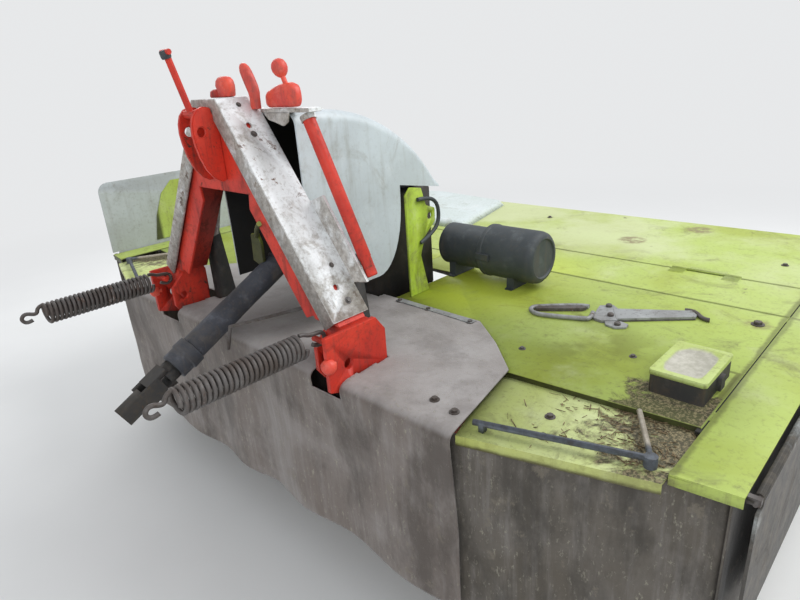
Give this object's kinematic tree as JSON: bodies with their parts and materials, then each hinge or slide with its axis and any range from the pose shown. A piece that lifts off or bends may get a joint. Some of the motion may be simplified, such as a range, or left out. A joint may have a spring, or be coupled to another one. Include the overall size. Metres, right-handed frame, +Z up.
{
  "type": "front-mounted drum mower",
  "caption": "Front-mounted drum mower: lime decks with canvas skirts, hanging rotor drums on saucers, white hitch triangle with red coupler, drive shaft.",
  "frame": {"origin": "bottom centre of the whole machine's box, on the floor", "axes": "+X to the right seen from the tractor, +Y forwards away from the tractor, +Z up"},
  "size_m": [2.696, 2.334, 1.553],
  "materials": {
    "bare_steel": "worn bare steel",
    "canvas": "coated canvas, dusty",
    "cast_case": "dark painted casting",
    "dark_plastic": "blue-black plastic",
    "dome_shell": "pale moulded shell",
    "drum_paint": "worn paint on drums",
    "flap_plastic": "pale stiff plastic",
    "galvanised": "dull zinc",
    "lime_paint": "faded lime paint, dirty",
    "red_paint": "bright red paint, faded",
    "white_paint": "white paint, chipped"
  },
  "bodies": {
    "frame": {"gear_beam": "cast_case", "main_gearbox": "cast_case", "deck_frame": "galvanised", "carrier_arms": "galvanised", "headstock_frame": "white_paint", "headstock_top": "white_paint", "stay_tubes": "red_paint", "coupler_foot_right": "red_paint", "coupler_foot_left": "red_paint", "coupler_frame": "red_paint", "top_link_ears": "red_paint", "lock_lever": "red_paint", "main_decks": "lime_paint", "rear_decks": "lime_paint", "end_wings": "lime_paint", "front_strip": "lime_paint", "dome_guard": "dome_shell", "lift_brackets": "lime_paint", "flap_hinges": "galvanised", "centre_sheet": "canvas", "rear_skirts": "canvas", "end_skirts": "canvas", "clamp_strips": "galvanised", "knife_box": "galvanised", "document_tube": "dark_plastic", "knife_tool": "bare_steel", "hold_down_rods": "bare_steel", "drive_joint_front": "bare_steel", "shaft_guard": "dark_plastic", "drive_joint_rear": "bare_steel", "shaft_hook": "galvanised", "relief_spring_right": "bare_steel", "relief_spring_left": "bare_steel"},
    "rotor_1": {"drum_1": "drum_paint", "knives_1": "bare_steel"},
    "skid_1": {"saucer_1": "bare_steel"},
    "rotor_2": {"drum_2": "drum_paint", "knives_2": "bare_steel"},
    "skid_2": {"saucer_2": "bare_steel"},
    "rotor_3": {"drum_3": "drum_paint", "knives_3": "bare_steel"},
    "skid_3": {"saucer_3": "bare_steel"},
    "rotor_4": {"drum_4": "drum_paint", "knives_4": "bare_steel"},
    "skid_4": {"saucer_4": "bare_steel"},
    "front_guard": {"front_guard": "lime_paint", "front_hood": "white_paint", "front_skirt": "canvas"},
    "flap_right": {"side_flap_right": "flap_plastic"},
    "flap_left": {"side_flap_left": "flap_plastic"},
    "box_lid": {"knife_box_lid": "galvanised"}
  },
  "joints": [
    {"name": "rotor_1_turn", "type": "hinge", "parent": "frame", "child": "rotor_1", "pos_m": [-0.945, -0.097, 0.084], "axis": [0, 0, 1], "continuous": true},
    {"name": "skid_1_turn", "type": "hinge", "parent": "frame", "child": "skid_1", "pos_m": [-0.945, -0.097, 0], "axis": [0, 0, 1], "continuous": true},
    {"name": "rotor_2_turn", "type": "hinge", "parent": "frame", "child": "rotor_2", "pos_m": [-0.315, -0.097, 0.084], "axis": [0, 0, 1], "continuous": true},
    {"name": "skid_2_turn", "type": "hinge", "parent": "frame", "child": "skid_2", "pos_m": [-0.315, -0.097, 0], "axis": [0, 0, 1], "continuous": true},
    {"name": "rotor_3_turn", "type": "hinge", "parent": "frame", "child": "rotor_3", "pos_m": [0.315, -0.097, 0.084], "axis": [0, 0, 1], "continuous": true},
    {"name": "skid_3_turn", "type": "hinge", "parent": "frame", "child": "skid_3", "pos_m": [0.315, -0.097, 0], "axis": [0, 0, 1], "continuous": true},
    {"name": "rotor_4_turn", "type": "hinge", "parent": "frame", "child": "rotor_4", "pos_m": [0.945, -0.097, 0.084], "axis": [0, 0, 1], "continuous": true},
    {"name": "skid_4_turn", "type": "hinge", "parent": "frame", "child": "skid_4", "pos_m": [0.945, -0.097, 0], "axis": [0, 0, 1], "continuous": true},
    {"name": "front_guard_lift", "type": "hinge", "parent": "frame", "child": "front_guard", "pos_m": [0, 0.53, 0.764], "axis": [1, 0, 0], "range_deg": [0, 95]},
    {"name": "flap_right_lift", "type": "hinge", "parent": "frame", "child": "flap_right", "pos_m": [1.34, 0.143, 0.75], "axis": [0, -1, 0], "range_deg": [0, 180]},
    {"name": "flap_left_drop", "type": "hinge", "parent": "frame", "child": "flap_left", "pos_m": [-1.34, 0.143, 0.75], "axis": [0, -1, 0], "range_deg": [0, 180]},
    {"name": "box_lid_lift", "type": "hinge", "parent": "frame", "child": "box_lid", "pos_m": [1.056, -0.247, 0.808], "axis": [0, -1, 0], "range_deg": [0, 110]}
  ],
  "couplings": [
    {"joint": "rotor_2_turn", "follows": "rotor_1_turn", "ratio": -1},
    {"joint": "rotor_3_turn", "follows": "rotor_1_turn", "ratio": 1},
    {"joint": "rotor_4_turn", "follows": "rotor_1_turn", "ratio": -1}
  ]
}
